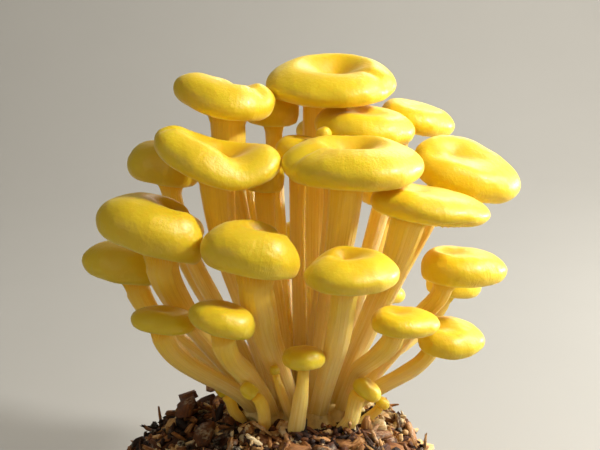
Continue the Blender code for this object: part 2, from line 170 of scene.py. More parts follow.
def new_piece(name, points, quads, triangles, material, values=None, smooth=True):
    """A mesh object from arrays. values maps attribute names to one number or one vector for each point."""
    mesh = bpy.data.meshes.new(name)
    mesh.vertices.add(len(points))
    mesh.vertices.foreach_set("co", (np.asarray(points, dtype=np.float64) * METRE).ravel())
    corners = np.concatenate([quads.ravel(), triangles.ravel()]).astype(np.int32)
    mesh.loops.add(len(corners))
    mesh.loops.foreach_set("vertex_index", corners)
    starts = np.concatenate([np.arange(len(quads)) * 4, len(quads) * 4 + np.arange(len(triangles)) * 3])
    mesh.polygons.add(len(starts))
    mesh.polygons.foreach_set("loop_start", starts.astype(np.int32))
    for label, data in (values or {}).items():
        data = np.asarray(data, dtype=np.float64)
        kind, slot = ("FLOAT", "value") if data.ndim == 1 else ("FLOAT_VECTOR", "vector")
        mesh.attributes.new(label, kind, "POINT").data.foreach_set(slot, data.ravel())
    mesh.update(calc_edges=True)
    mesh.validate()
    if smooth:
        mesh.shade_smooth()
    mesh.materials.append(material)
    piece = bpy.data.objects.new(name, mesh)
    bpy.context.scene.collection.objects.link(piece)
    return piece


# %% Small helpers
def unit(vector):
    """The vector at length 1. It also takes an array of vectors."""
    return vector / np.linalg.norm(vector, axis=-1, keepdims=True)


def ease(x, low, high):
    """0 below low, 1 above high, and a smooth step between them."""
    t = np.clip((x - low) / (high - low), 0.0, 1.0)
    return t * t * (3.0 - 2.0 * t)


def curve_through(points, where):
    """A smooth curve through points, read at where: 0 is the first point and 1 more is the next one.

    Between two points it is the cubic that leaves each of them in the direction of the line from the point before
    to the point after (a Catmull-Rom curve).
    """
    points = np.asarray(points, dtype=float)
    where = np.asarray(where, dtype=float)
    padded = np.concatenate([[2 * points[0] - points[1]], points, [2 * points[-1] - points[-2]]])
    index = np.clip(np.floor(where).astype(int), 0, len(points) - 2)
    t = (where - index)[:, None]
    before, here, there, after = (padded[index + k] for k in range(4))
    return 0.5 * (
        2 * here
        + (there - before) * t
        + (2 * before - 5 * here + 4 * there - after) * t**2
        + (3 * here - before - 3 * there + after) * t**3
    )


def even_steps(points, count, scale=1.0):
    """Count values of where that are evenly spaced along curve_through(points)."""
    dense = np.linspace(0.0, len(points) - 1.0, 600)
    line = curve_through(points, dense) * scale
    length = np.concatenate([[0.0], np.cumsum(np.linalg.norm(np.diff(line, axis=0), axis=1))])
    return np.interp(np.linspace(0.0, length[-1], count), length, dense)


def ripple(points, wave, seed, waves=24):
    """Uneven smooth relief in space: the mean of many plane waves in random directions, about -1 to 1.

    wave is the length of a wave in millimetres.
    """
    rng = np.random.default_rng(seed)
    direction = unit(rng.normal(size=(waves, 3))) * (TURN / wave) * rng.uniform(0.7, 1.4, (waves, 1))
    phase = rng.uniform(0.0, TURN, waves)
    return np.cos(points @ direction.T + phase).sum(axis=-1) / math.sqrt(waves * 0.5) * 0.6


# %% [markdown]
# ## The plan of the cluster
#
# Each mushroom is one line of a table: where its cap is, how wide and thick it is, how it leans, and how its stem
# leaves it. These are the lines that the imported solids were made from, so a fine surface grown from the same line
# lies on its solid. Dips are low places in a cap's rim, which make it look folded.


# %% The plan
class Mushroom(NamedTuple):
    """One mushroom of the cluster."""

    name: str
    cap: tuple  # middle of the cap's margin: x, y, z
    half: tuple  # half-widths of the cap along x and y
    thick: float  # height from the margin's edge to the crown
    dimple: float  # how far the middle of the top sinks, as a share of thick
    lean: tuple  # degrees that the cap's axis leans to +x and to +y
    off: tuple  # where the stem sits under the cap, as shares of the half-widths
    stem: tuple  # stem radius at the neck and at the foot
    sag: tuple = (0.0, 0.0)  # saddle: share of the half-width, and the azimuth of its high ends
    foot: tuple = ()  # x, y of a foot that has a place of its own
    hollow: tuple = ()  # where the dimple is, like off. It is over the stem when this is empty


def name_phase(m):
    """An angle from the mushroom's name, which turns its lobes, swelling and ribs its own way."""
    return 0.7 * sum(ord(letter) for letter in m.name)


CLUSTER = [
    # The crown of the cluster.
    Mushroom("top_centre", (15.8, 26, 137.5), (20, 17), 9.6, 0.62, (1, -10), (-0.22, 0.44), (4.3, 2.7),
             hollow=(0.05, 0.25)),
    Mushroom("top_left", (-17.4, 13, 134), (15.3, 12.5), 10.2, 0.40, (11, 4), (0.15, 0.1), (4.8, 2.9), (0.10, 0)),
    Mushroom("top_left_small", (-3, 34, 127), (9, 8), 10.5, 0.15, (2, -2), (0.1, 0), (2.8, 2.1)),
    Mushroom("upper_right", (25.2, 19, 125), (15.4, 12.5), 9.3, 0.20, (8, -3), (-0.1, 0), (4.0, 2.5)),
    Mushroom("back_right", (42.3, 38, 123.9), (12.4, 11), 8.5, 0.15, (12, 0), (-0.3, 0), (3.3, 2.3)),
    Mushroom("right_large", (55.5, 14, 112.5), (17.2, 12.9), 10.6, 0.30, (18, -20), (-0.3, 0.05), (4.0, 2.5)),
    # The middle tier.
    Mushroom("centre_large", (21.5, -9, 118.4), (20.8, 16.5), 10.6, 0.50, (1, -3), (-0.1, 0), (5.2, 3.1),
             hollow=(0, 0.25)),
    Mushroom("upper_left", (-19.5, -7, 119.5), (18.8, 14.5), 11.2, 0.70, (12, 3), (0.1, 0.2), (4.8, 2.9), (0.14, 0)),
    Mushroom("upper_left_back", (-36.5, 18, 112), (11.6, 10.5), 11.8, 0.10, (8, 0), (0.3, 0), (3.3, 2.3)),
    Mushroom("left_hidden", (-5.2, 9.8, 110.8), (6.4, 6.2), 9.5, 0.15, (4, 0), (0.1, 0), (3.0, 2.2)),
    Mushroom("small_centre_back", (5.5, 13, 120), (7.0, 6.2), 6.5, 0.15, (4, 0), (0, 0), (2.5, 2.0)),
    Mushroom("right_mid", (44, -10, 107), (17.3, 13.5), 8.0, 0.15, (8, 0), (-0.35, 0), (4.6, 2.9)),
    Mushroom("left_big", (-38.6, -15.2, 99.6), (16.8, 13), 14.0, 0.30, (16, 0), (0.35, 0.1), (5.0, 2.9),
             hollow=(0.35, 0.30)),
    Mushroom("front_left", (-8.3, -25, 95.5), (14.9, 12.5), 12.8, 0.38, (9, 0), (0.15, 0), (5.2, 3.1),
             hollow=(0.22, 0.25)),
    Mushroom("front_right", (20.2, -29, 92), (14.4, 12.5), 8.5, 0.38, (1, -3), (-0.1, 0), (4.1, 3.0),
             hollow=(-0.1, 0.40)),
    # The outer and lower ring.
    Mushroom("left_low_back", (-48.5, 12, 82.7), (12.5, 11), 10.8, 0.10, (8, 0), (0.4, 0), (3.5, 2.3)),
    Mushroom("right_low", (55.3, 1, 84.7), (13.3, 10.5), 9.2, 0.20, (3, 0), (-0.45, 0), (3.2, 2.4)),
    Mushroom("right_low_back", (54.5, 28, 72.3), (8.8, 8), 9.0, 0.15, (8, 4), (-0.35, 0), (2.7, 2.1)),
    Mushroom("right_small", (36.5, -21, 75.6), (10.1, 8.5), 6.0, 0.15, (4, -3), (-0.3, 0), (3.2, 2.4)),
    Mushroom("right_lowest", (51, -6, 65.8), (10.4, 9.0), 7.5, 0.20, (6, -13), (-0.55, 0), (2.7, 2.4)),
    Mushroom("left_low", (-33.7, -22, 76.6), (9.6, 8), 5.8, 0.10, (6, 0), (0, -0.1), (3.2, 2.4)),
    Mushroom("left_mid_low", (-17, -32.5, 79.5), (10, 8.5), 7.4, 0.05, (15, 0), (0.2, 0), (3.8, 2.7),
             foot=(-1, -13)),
    Mushroom("tiny_front", (7, -26, 66.5), (6.5, 5.8), 5.2, 0.0, (0, 0), (0, 0), (1.8, 2.6), foot=(4.5, -18.5)),
    # Buds and clubs.
    Mushroom("bud_high", (13.6, 8.2, 126.8), (2.4, 2.2), 3.5, 0.0, (-20, 0), (0, 0), (1.5, 1.6)),
    Mushroom("club_right", (25, -15.6, 54), (4.6, 3.6), 4.4, 0.0, (38, -12), (-0.2, 0), (2.3, 2.3),
             foot=(17.6, -16.2)),
    Mushroom("bud_right", (30.2, -11, 48.5), (2.2, 2.0), 2.8, 0.0, (35, 0), (0, 0), (1.3, 1.5), foot=(21.5, -10.5)),
    Mushroom("club_left", (-16.4, -9.5, 51.8), (2.1, 2.0), 4.6, 0.0, (-34, -4), (0, 0), (1.7, 1.9), foot=(-11, -7)),
    Mushroom("young_left", (-7.4, -25.8, 57.2), (2.3, 2.1), 4.8, 0.0, (-46, -6), (0, 0), (1.7, 2.0),
             foot=(-4.5, -16)),
    Mushroom("pin_front", (-1.2, -20.5, 62), (1.5, 1.4), 2.6, 0.0, (-12, 0), (0, 0), (1.1, 1.5), foot=(2, -13.5)),
    # The far side.
    Mushroom("back_high", (18, 50, 117.5), (13.5, 12), 8.5, 0.35, (2, 8), (0, -0.2), (3.7, 2.5)),
    Mushroom("back_left", (-13, 45, 107), (13, 11.5), 8.5, 0.30, (-5, 8), (0.1, -0.2), (3.5, 2.4)),
    Mushroom("back_left_low", (-35, 36, 88), (10.5, 9.5), 7.5, 0.20, (-5, 6), (0.3, -0.2), (3.0, 2.2)),
    Mushroom("back_middle", (10, 52, 83), (12, 10.5), 7.5, 0.25, (0, 10), (0, -0.3), (3.3, 2.4)),
    Mushroom("back_right_mid", (37, 46, 97), (11.5, 10), 7.5, 0.30, (6, 8), (-0.2, -0.2), (3.2, 2.2)),
    Mushroom("back_low", (-9, 46, 71), (9, 8), 6.5, 0.10, (-3, 8), (0, -0.3), (2.7, 2.2)),
    Mushroom("back_right_low", (32, 42, 66), (8, 7.5), 6.0, 0.10, (5, 8), (-0.2, -0.2), (2.5, 2.1)),
]

AXIS = np.array([6.5, 1.0])  # where the cluster's axis stands, x and y
CRATER_FLOOR = 40.0  # height of the wood that the butt stands on
GAP = 0.3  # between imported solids
BUTT_FOOT_HALF = 15.5  # half-width of the butt, at its bottom
BUTT_HALF = 20.0  # and at its top
FOOT_LEVEL = 46.3  # height of the butt's top
print("mushrooms in the plan:", len(CLUSTER))

# %% [markdown]
# ## Growing the stems
#
# A stem starts on the butt, leans out and ends square under its cap. Neighbours would run through each other on
# such simple curves, so the stems are packed as they are in a real bunch: wherever two are too near they push
# each other aside, again and again, and each curve stays smooth.

# %% Necks and feet
NECK_SHARE = 0.40  # length of the straight neck, as a share of the cap's thickness
WIDEST_LEAN = math.radians(58.0)  # of a stem where it leaves its foot


def cap_frame(m):
    """The cap's own axes: across to +x, across to +y, and up through its middle."""
    up = unit(np.array([math.tan(math.radians(m.lean[0])), math.tan(math.radians(m.lean[1])), 1.0]))
    across = unit(np.array([1.0, 0.0, 0.0]) - up[0] * up)
    return np.array([across, np.cross(up, across), up])


def attachment(m):
    """Where the stem meets the cap, in the cap's frame."""
    return np.array([m.off[0] * m.half[0], m.off[1] * m.half[1], 0.0])


def crown_middle(m):
    """The middle of the cap's top, in the cap's frame, at the margin's height."""
    place = m.hollow or m.off
    return np.array([place[0] * m.half[0], place[1] * m.half[1], 0.0])


def neck(m):
    """The lower end of the straight neck under the cap."""
    point = attachment(m) - np.array([0.0, 0.0, NECK_SHARE * m.thick])
    return np.array(m.cap) + point @ cap_frame(m)


def stands_on_butt(m):
    """True for a foot on the butt, and false for one in the substrate beside it."""
    return not m.foot or np.linalg.norm(np.array(m.foot) - AXIS) < BUTT_HALF - 2.0


def first_foot(m):
    """Where the foot starts: on the side of the butt that its cap is on, further out for a lower cap."""
    if m.foot:
        return np.array([*m.foot, FOOT_LEVEL if stands_on_butt(m) else CRATER_FLOOR + GAP])
    reach = np.array(m.cap[:2]) - AXIS
    out = np.linalg.norm(reach)
    fall = math.atan2(out, m.cap[2] - FOOT_LEVEL)
    share = min(1.0, fall / WIDEST_LEAN)
    return np.array([*(AXIS + reach / out * share * (BUTT_HALF - 3.2)), FOOT_LEVEL])


# %% First curves
PATH_POINTS = 20


def first_path(m):
    """The stem's curve before packing: a cubic (Bezier) curve from the foot to the neck.

    It leaves the foot part upright and part outward, more outward for a lower cap, and meets the neck between
    the direction of the cap's axis and that of the straight line from foot to neck.
    """
    start, end = first_foot(m), neck(m)
    reach = end - start
    along = np.linalg.norm(reach)
    fall = math.atan2(np.linalg.norm(reach[:2]), reach[2])
    tilt = min(WIDEST_LEAN, 0.85 * fall)
    outward = unit(np.array([reach[0], reach[1], 0.0]) + 1e-6)
    leave = start + (np.array([0.0, 0.0, math.cos(tilt)]) + outward * math.sin(tilt)) * 0.38 * along
    arrive = end - unit(0.45 * cap_frame(m)[2] + 0.55 * reach / along) * 0.34 * along
    t = np.linspace(0.0, 1.0, PATH_POINTS)[:, None]
    s = 1.0 - t
    return s**3 * start + 3 * s * s * t * leave + 3 * s * t * t * arrive + t**3 * end


def stem_radii(m):
    """Radius at each point of the path: wide at the neck, slimmest below it, and a little wider at the foot."""
    t = np.linspace(0.0, 1.0, PATH_POINTS)
    at_neck, at_foot = m.stem
    return at_foot + (at_neck - at_foot) * t**1.6


# %% Packing the stems
PACKING_STEPS = 240
STEM_CLEARANCE = 0.9
PUSH_SHARE = 0.35  # how much of an overlap one step takes out of each stem
CAP_PUSH_SHARE = 0.5
LONGEST_MOVE = 1.5  # of a point in one step
SMOOTHING = 0.30


def pack_stems(cluster):
    """Centreline of each stem, pushed clear of the other stems and of the other caps.

    Each step moves every pair of points that are too near part of the way apart, moves a point that is inside
    another cap out sideways, and smooths how far each centreline has moved from its first curve. The neck and
    the point under it stay where they are.
    """
    first = np.array([first_path(m) for m in cluster])
    radii = np.array([stem_radii(m) for m in cluster])
    count = len(cluster)
    owner = np.repeat(np.arange(count), PATH_POINTS)
    same = owner[:, None] == owner[None, :]
    need = radii.reshape(-1)[:, None] + radii.reshape(-1)[None, :] + STEM_CLEARANCE
    frames = [cap_frame(m) for m in cluster]
    paths = first.copy()
    for _ in range(PACKING_STEPS):
        flat = paths.reshape(-1, 3)
        apart = flat[:, None, :] - flat[None, :, :]
        distance = np.linalg.norm(apart, axis=2) + 1e-9
        push = np.clip(need - distance, 0.0, None)
        push[same] = 0.0
        moved = (apart / distance[..., None] * push[..., None] * PUSH_SHARE).sum(axis=1)
        moved = moved.reshape(count, PATH_POINTS, 3)
        for j, m in enumerate(cluster):
            moved += out_of_cap(paths, radii, m, frames[j], j)
        length = np.linalg.norm(moved, axis=2, keepdims=True)
        moved *= np.minimum(1.0, LONGEST_MOVE / np.maximum(length, 1e-9))
        moved[:, 0, 2] = 0.0
        moved[:, -2:] = 0.0
        drift = paths + moved - first
        bend = drift[:, :-2] + drift[:, 2:] - 2 * drift[:, 1:-1]
        bend[:, -1] = 0.0
        drift[:, 1:-1] += SMOOTHING * bend
        paths = first + drift
        keep_off_butt(paths, radii, cluster)
    return paths, radii


def out_of_cap(paths, radii, m, frame, index):
    """How far each path point has to move sideways to leave mushroom m's cap, as a flattened ball."""
    local = (paths - np.array(m.cap)) @ frame.T
    local[..., 2] -= 0.5 * m.thick
    room = radii[..., None] + STEM_CLEARANCE
    shares = local / (np.array([m.half[0], m.half[1], 0.5 * m.thick]) + room)
    inside = np.linalg.norm(shares, axis=2)
    depth = np.clip(1.0 - inside, 0.0, None) * min(m.half)
    depth[index] = 0.0
    sideways = np.concatenate([local[..., :2], np.zeros_like(local[..., :1])], axis=2)
    sideways /= np.linalg.norm(sideways, axis=2, keepdims=True) + 1e-9
    return (sideways * depth[..., None] * CAP_PUSH_SHARE) @ frame


def butt_half(height):
    """Half-width of the butt at a height: it widens upward from its foot in the substrate."""
    rise = np.clip((height - CRATER_FLOOR) / (FOOT_LEVEL - CRATER_FLOOR), 0.0, 1.0)
    return BUTT_FOOT_HALF + (BUTT_HALF - BUTT_FOOT_HALF) * rise


def keep_off_butt(paths, radii, cluster):
    """Keeps a foot on the butt inside its edge, and a stem that stands beside the butt outside it."""
    for j, m in enumerate(cluster):
        reach = paths[j, :, :2] - AXIS
        out = np.maximum(np.linalg.norm(reach, axis=1), 1e-9)
        if stands_on_butt(m):
            share = min(1.0, (BUTT_HALF - 0.4 - radii[j, 0]) / out[0])
            paths[j, 0, :2] = AXIS + reach[0] * share
            lowest = FOOT_LEVEL + GAP + radii[j, 1:4] * np.array([0.5, 0.8, 1.0])
            paths[j, 1:4, 2] = np.maximum(paths[j, 1:4, 2], lowest)
        else:
            beside = paths[j, :, 2] < FOOT_LEVEL + radii[j]
            least = butt_half(paths[j, :, 2]) + radii[j] * 1.25 + 2 * GAP
            share = np.where(beside, np.maximum(1.0, least / out), 1.0)
            paths[j, :, :2] = AXIS + reach * share[:, None]


paths, radii = pack_stems(CLUSTER)
print("stems grown:", len(paths))

# %% [markdown]
# ## A cap
#
# A young oyster cap is a thick bun: its top dips over the stem, its shoulder is full, and its margin rolls under.
# Seen in section it is one line from the middle of the top, over the shoulder, round the margin and back in to
# the neck. The line is given by a few points of reach and height, and a smooth curve runs through them. Turning
# the line about the cap's axis gives the surface. Lobes, a saddle, dips and a faint unevenness make each cap
# its own.


# %% The cap's section
# Points of the section: reach as a share of the half-width, height as a share of the thickness, and tone. Tone
# says which part of the mushroom a point is on: 0 to 1 is the top, 1 the margin, 1 to 2 the underside with its
# gills, and 2 to 3 the stem from neck to foot. The materials read it.
CAP_SECTION = np.array(
    [
        (0.06, 1.00, 0.06),
        (0.20, 1.00, 0.20),
        (0.34, 1.00, 0.34),
        (0.48, 0.985, 0.48),
        (0.62, 0.945, 0.62),
        (0.75, 0.87, 0.74),
        (0.86, 0.76, 0.84),
        (0.945, 0.62, 0.91),
        (0.99, 0.48, 0.955),
        (1.00, 0.35, 0.985),
        (0.985, 0.23, 1.01),
        (0.945, 0.11, 1.04),
        (0.885, 0.03, 1.08),
        (0.82, 0.00, 1.12),
        (0.75, 0.03, 1.18),
        (0.66, 0.10, 1.30),
        (0.55, 0.12, 1.44),
        (0.44, 0.08, 1.54),
        (0.36, 0.00, 1.62),
    ]
)
DIMPLE_REACH = 0.56  # the dimple's edge, as a share of the half-width
# Caps whose whole top is a dish, with the dish's edge.
WIDE_DISHES = {"right_large": 0.86, "upper_left": 0.78, "top_centre": 0.68, "upper_right": 0.8, "back_right": 0.8}
print("rows of the cap's section:", len(CAP_SECTION))

# %% Dips in the rims
# Mushroom, azimuth in degrees, depth as a share of the thickness, half-width in degrees.
DIPS = [
    ("upper_left", -58.0, 0.42, 32.0),
    ("upper_left", 185.0, 0.12, 8.0),
    ("top_left", -25.0, 0.22, 22.0),
    ("top_left", 70.0, 0.30, 30.0),
    ("centre_large", 198.0, 0.16, 9.0),
    ("centre_large", -140.0, 0.10, 20.0),
    ("top_centre", -28.0, 0.10, 9.0),
    ("front_right", 165.0, 0.30, 30.0),
    ("front_left", 22.0, 0.32, 48.0),
    ("left_big", 12.0, 0.34, 36.0),
    ("right_mid", 150.0, 0.22, 18.0),
    ("right_large", -165.0, 0.20, 34.0),
    ("upper_right", 190.0, 0.22, 34.0),
    ("right_lowest", 160.0, 0.14, 26.0),
    ("back_high", 60.0, 0.20, 22.0),
    ("back_left", 120.0, 0.18, 20.0),
    ("back_middle", 80.0, 0.15, 24.0),
]


def margin_lobes(m, angles):
    """The margin isn't a true ellipse: two, three and five soft lobes, turned by a phase from the name."""
    phase = name_phase(m)
    lobes = 0.030 * np.cos(2 * angles + phase) + 0.022 * np.cos(3 * angles + 2.3 * phase)
    return 1.0 + lobes + 0.010 * np.cos(5 * angles + 4.1 * phase)


def rim_dips(m, angles):
    """How much lower the rim is at each azimuth, as a share of the thickness: a bell for each of its dips."""
    low = np.zeros_like(angles)
    for name, azimuth, depth, width in DIPS:
        if name == m.name:
            apart = (angles - math.radians(azimuth) + math.pi) % TURN - math.pi
            low += depth * np.exp(-((apart / math.radians(width)) ** 2))
    return low


# %% The cap's surface
def cap_surface(m, line, angles):
    """Points (row, column, 3) of a cap: its section turned about its axis.

    A ring's middle slides from the dimple's middle, or on the underside from the stem, out to the cap's middle as
    its reach grows to 1. Its height is the section's, less the dimple, less the rim's dips, plus the saddle.
    """
    box = cap_frame(m)
    half = np.array(m.half)
    reach, height, tone = line[:, 0, None], line[:, 1, None], line[:, 2, None]
    under = ease(tone, 0.98, 1.02)[..., None]
    middle = crown_middle(m)[:2] * (1.0 - under) + attachment(m)[:2] * under
    around = np.stack([np.cos(angles), np.sin(angles)], axis=-1)
    dips = rim_dips(m, angles) * ease(reach, 0.15, 0.7)
    spread = margin_lobes(m, angles) * (1.0 - 0.22 * dips)
    flat = middle * (1.0 - reach[..., None]) + reach[..., None] * around * half * spread[..., None]
    near = np.clip(reach / WIDE_DISHES.get(m.name, DIMPLE_REACH), 0.0, 1.0)
    bowl = (1.0 - near) ** 2 * (1.0 + 1.4 * near)
    top = 1.0 - under[..., 0]
    sunk = m.dimple * bowl * top + dips * (0.35 + 0.65 * height)
    share = flat / half
    turned = np.arctan2(share[..., 1], share[..., 0]) - math.radians(m.sag[1])
    saddle = m.sag[0] * m.half[0] * np.cos(2.0 * turned) * (share**2).sum(axis=-1)
    rise = m.thick * (height - sunk) + saddle
    points = np.array(m.cap) + np.concatenate([flat, rise[..., None]], axis=-1) @ box
    size = min(m.half)
    lumps = ripple(points, 0.85 * size, 11) * 0.016 + ripple(points, 0.30 * size, 12) * 0.0035
    outward = unit(points - (np.array(m.cap) + 0.3 * m.thick * box[2]))
    return points + outward * (lumps * size * ease(tone, 0.0, 0.3))[..., None]


# %% [markdown]
# ## Neck, stem and foot
#
# Below the gills the flesh flares into the stem. Each column of points is carried from the underside to the neck
# on its own small arc. The stem then follows its grown curve. It isn't quite round, it swells a little here and
# there, and fine ribs run down it, strong under the cap where the gills end and fainter towards the foot.

# %% Neck and stem
def neck_surface(m, upper, lower, rows):
    """Rows of points between the underside's last ring and the neck's ring.

    Each column follows the quadratic curve from its upper point to its lower one that bends at a point just
    under the cap, a little wider than the neck.
    """
    box = cap_frame(m)
    middle = lower.mean(axis=0)
    bend = middle + (lower - middle) * 1.12 + box[2] * (0.28 * m.thick)
    t = np.linspace(0.0, 1.0, rows + 2)[1:-1, None, None]
    return (1 - t) ** 2 * upper + 2 * t * (1 - t) * bend + t**2 * lower


def path_frames(path, across):
    """Two axes across each point of a path: each pair is the last one turned to the path's new direction."""
    frames = []
    for direction in unit(np.gradient(path, axis=0)):
        across = unit(across - (across @ direction) * direction)
        frames.append((across, np.cross(across, direction)))
    return frames


def stem_surface(m, path, radius, angles, rows):
    """Rows of points down a stem, from the neck to its foot, and how far along each row is, from 0 to 1.

    A row is a ring across the curve. Its radius is the stem's, times 1 plus an oval, some swelling and the ribs:
    a sum of cosines around the stem whose phases drift as they run down.
    """
    down = np.concatenate([path[::-1], path[:1] - [0.0, 0.0, 2.2]])
    size = np.concatenate([radius[::-1], [radius[0] * 1.12]])
    where = even_steps(down, rows)
    centres = curve_through(down, where)
    thick = curve_through(size[:, None], where)[:, 0]
    axes = np.array(path_frames(centres, cap_frame(m)[0]))
    across, side = axes[:, 0], axes[:, 1]
    t = where / where[-1]
    phase = name_phase(m)
    grid = t[:, None]
    oval = 0.05 * np.cos(2 * angles + phase + 2.0 * grid)
    swell = 0.035 * np.cos(7.0 * grid + phase) + 0.02 * np.cos(17.0 * grid + 2 * phase)
    ribs = np.zeros((rows, len(angles)))
    for turns, amount in ((7, 0.012), (12, 0.010), (19, 0.007), (27, 0.005)):
        ribs += amount * np.cos(turns * angles + phase * turns + 2.2 * np.sin(3.0 * grid + turns))
    strength = 1.0 - 0.55 * ease(grid, 0.1, 0.8)
    ring = thick[:, None] * (1.0 + oval + swell + ribs * strength)
    points = centres[:, None] + ring[..., None] * (
        np.cos(angles)[None, :, None] * across[:, None] + np.sin(angles)[None, :, None] * side[:, None]
    )
    return points, t


# %% [markdown]
# ## Gills
#
# Oyster gills run from just inside the margin in to the neck and a little way down it. Each is a thin blade. Here
# a blade is a long prism with three edges: two lie on the underside and the third stands off it. All the blades
# of a cap are worked out together, and every second one is short and starts near the margin, as real ones do.

# %% Gills
def gill_blades(m, body_rows, rows):
    """Points (blade, row, 3, 3) of a cap's gills.

    body_rows gives the surface's points at any azimuths. A blade's outer edge is at its own azimuth, moved off
    the surface by its depth, which is 0 at both ends. Its two roots are a little to each side.
    """
    count = int(34 + 2.6 * m.half[0])
    middle = (np.arange(count) + 0.5) * TURN / count
    rng = np.random.default_rng(sum(ord(letter) for letter in m.name))
    middle = middle + rng.uniform(-0.15, 0.15, count) * TURN / count
    width = 0.20 * TURN / count
    angles = np.stack([middle - width, middle, middle + width], axis=-1).ravel()
    grid = body_rows(angles).reshape(rows, count, 3, 3)
    along = np.gradient(grid[:, :, 1], axis=0)
    across = grid[:, :, 2] - grid[:, :, 0]
    outward = unit(np.cross(along, across))
    t = np.linspace(0.0, 1.0, rows)[:, None]
    end = np.where(np.arange(count) % 2 == 0, 1.0, rng.uniform(0.35, 0.6, count))
    along_blade = np.clip(t / end, 0.0, 1.0)
    depth = np.sin(math.pi * along_blade**0.7) ** 0.8 * (0.050 * m.half[0] + 0.40)
    roots = grid - outward[:, :, None] * 0.15
    grid[:, :, 0], grid[:, :, 2] = roots[:, :, 0], roots[:, :, 2]
    grid[:, :, 1] += outward * (depth - 0.1)[..., None]
    return np.moveaxis(grid, 0, 1)


# %% [markdown]
# ## Materials
#
# Mushroom flesh is moist and lets light in, so it is a Principled shader with subsurface scattering, a warm
# scattering radius, a satin coat and some sheen, which frosts the rims. Its colour runs along the mushroom with
# the tone value: gold in the dimple, lemon over the shoulder, a paler band round the margin that is a painted
# highlight for the back-lit edge, deep gold on gills and neck that also paints the warm shade under the caps,
# and cream down to a darker foot. A faint emission paints a glow on gills and stem, for the light that thin
# flesh lets through from behind.
# Streaks and blotches come from shared node groups, so that every material uses the same kind of wear.


# %% Node helpers
def put(tree, kind, inputs=None, **settings):
    """A new node. inputs maps a socket's name or number to a value, or to a socket that is linked to it."""
    made = tree.nodes.new(kind)
    for label, value in settings.items():
        setattr(made, label, value)
    for label, value in (inputs or {}).items():
        if isinstance(value, bpy.types.NodeSocket):
            tree.links.new(value, made.inputs[label])
        else:
            made.inputs[label].default_value = value
    return made


def ramp(tree, value, stops):
    """A colour ramp over value. stops is a list of (position, colour)."""
    made = put(tree, "ShaderNodeValToRGB", {"Fac": value})
    colours = made.color_ramp
    while len(colours.elements) < len(stops):
        colours.elements.new(0.5)
    for element, (position, colour) in zip(colours.elements, stops, strict=True):
        element.position = position
        element.color = (*colour, 1.0)
    return made.outputs["Color"]


def fit_range(tree, value, low, high, to_low=0.0, to_high=1.0):
    """Value moved from the range low to high into another one, and held inside it."""
    ranged = {"Value": value, "From Min": low, "From Max": high, "To Min": to_low, "To Max": to_high}
    return put(tree, "ShaderNodeMapRange", ranged).outputs["Result"]


def connect(tree, shader, height, strength, distance, **values):
    """Links values to the shader's inputs, and bumps its surface by height."""
    bump = put(tree, "ShaderNodeBump", {"Height": height, "Strength": strength, "Distance": distance})
    for label, value in {"Normal": bump.outputs["Normal"], **values}.items():
        tree.links.new(value, shader.inputs[label.replace("_", " ")])


def blend_colours(tree, share, first, second):
    """Two colours mixed. share is how much of the second shows."""
    made = put(tree, "ShaderNodeMix", data_type="RGBA")
    sockets = (made.inputs[0], made.inputs[6], made.inputs[7])
    for socket, value in zip(sockets, (share, first, second), strict=True):
        if isinstance(value, bpy.types.NodeSocket):
            tree.links.new(value, socket)
        elif isinstance(value, tuple):
            socket.default_value = (*value, 1.0)
        else:
            socket.default_value = value
    return made.outputs[2]


def reckon(tree, how, first, second):
    """A Math node."""
    return put(tree, "ShaderNodeMath", {0: first, 1: second}, operation=how).outputs["Value"]


def times(tree, first, second):
    """Two values multiplied."""
    return reckon(tree, "MULTIPLY", first, second)


def new_group(name, inputs, outputs):
    """An empty shader node group with named inputs and outputs, and the nodes that carry them."""
    group = bpy.data.node_groups.new(name, "ShaderNodeTree")
    for label, kind in inputs:
        group.interface.new_socket(name=label, in_out="INPUT", socket_type=kind)
    for label, kind in outputs:
        group.interface.new_socket(name=label, in_out="OUTPUT", socket_type=kind)
    return group, group.nodes.new("NodeGroupInput"), group.nodes.new("NodeGroupOutput")


# %% Shared effects
def make_streaks():
    """Streaks along a piece: noise on its grain, squeezed around it and stretched along it."""
    group, given, result = new_group(
        "streaks",
        [("Grain", "NodeSocketVector"), ("Around", "NodeSocketFloat"), ("Along", "NodeSocketFloat")],
        [("Value", "NodeSocketFloat")],
    )
    squeeze = put(
        group,
        "ShaderNodeCombineXYZ",
        {"X": given.outputs["Around"], "Y": given.outputs["Around"], "Z": given.outputs["Along"]},
    )
    both = {0: given.outputs["Grain"], 1: squeeze.outputs[0]}
    scaled = put(group, "ShaderNodeVectorMath", both, operation="MULTIPLY").outputs[0]
    noise = put(group, "ShaderNodeTexNoise", {"Vector": scaled, "Scale": 1.0, "Detail": 4.0, "Roughness": 0.6})
    group.links.new(noise.outputs["Fac"], result.inputs["Value"])
    return group


def make_blotches():
    """Soft blotches over a piece: 1 inside a blotch and 0 outside, from noise on the object's coordinates."""
    group, given, result = new_group(
        "blotches",
        [("Size", "NodeSocketFloat"), ("From", "NodeSocketFloat"), ("To", "NodeSocketFloat")],
        [("Value", "NodeSocketFloat")],
    )
    place = put(group, "ShaderNodeTexCoord")
    noise = put(
        group,
        "ShaderNodeTexNoise",
        {"Vector": place.outputs["Object"], "Scale": given.outputs["Size"], "Detail": 5.0, "Roughness": 0.58},
    )
    ranged = {"Value": noise.outputs["Fac"], "From Min": given.outputs["From"], "From Max": given.outputs["To"]}
    group.links.new(put(group, "ShaderNodeMapRange", ranged).outputs["Result"], result.inputs["Value"])
    return group


streaks = make_streaks()
blotches = make_blotches()


def blotch_mask(tree, size, low, high):
    """A mask of blotches. size is how many of them there are to a metre."""
    given = {"Size": size, "From": low, "To": high}
    return put(tree, "ShaderNodeGroup", given, node_tree=blotches).outputs["Value"]


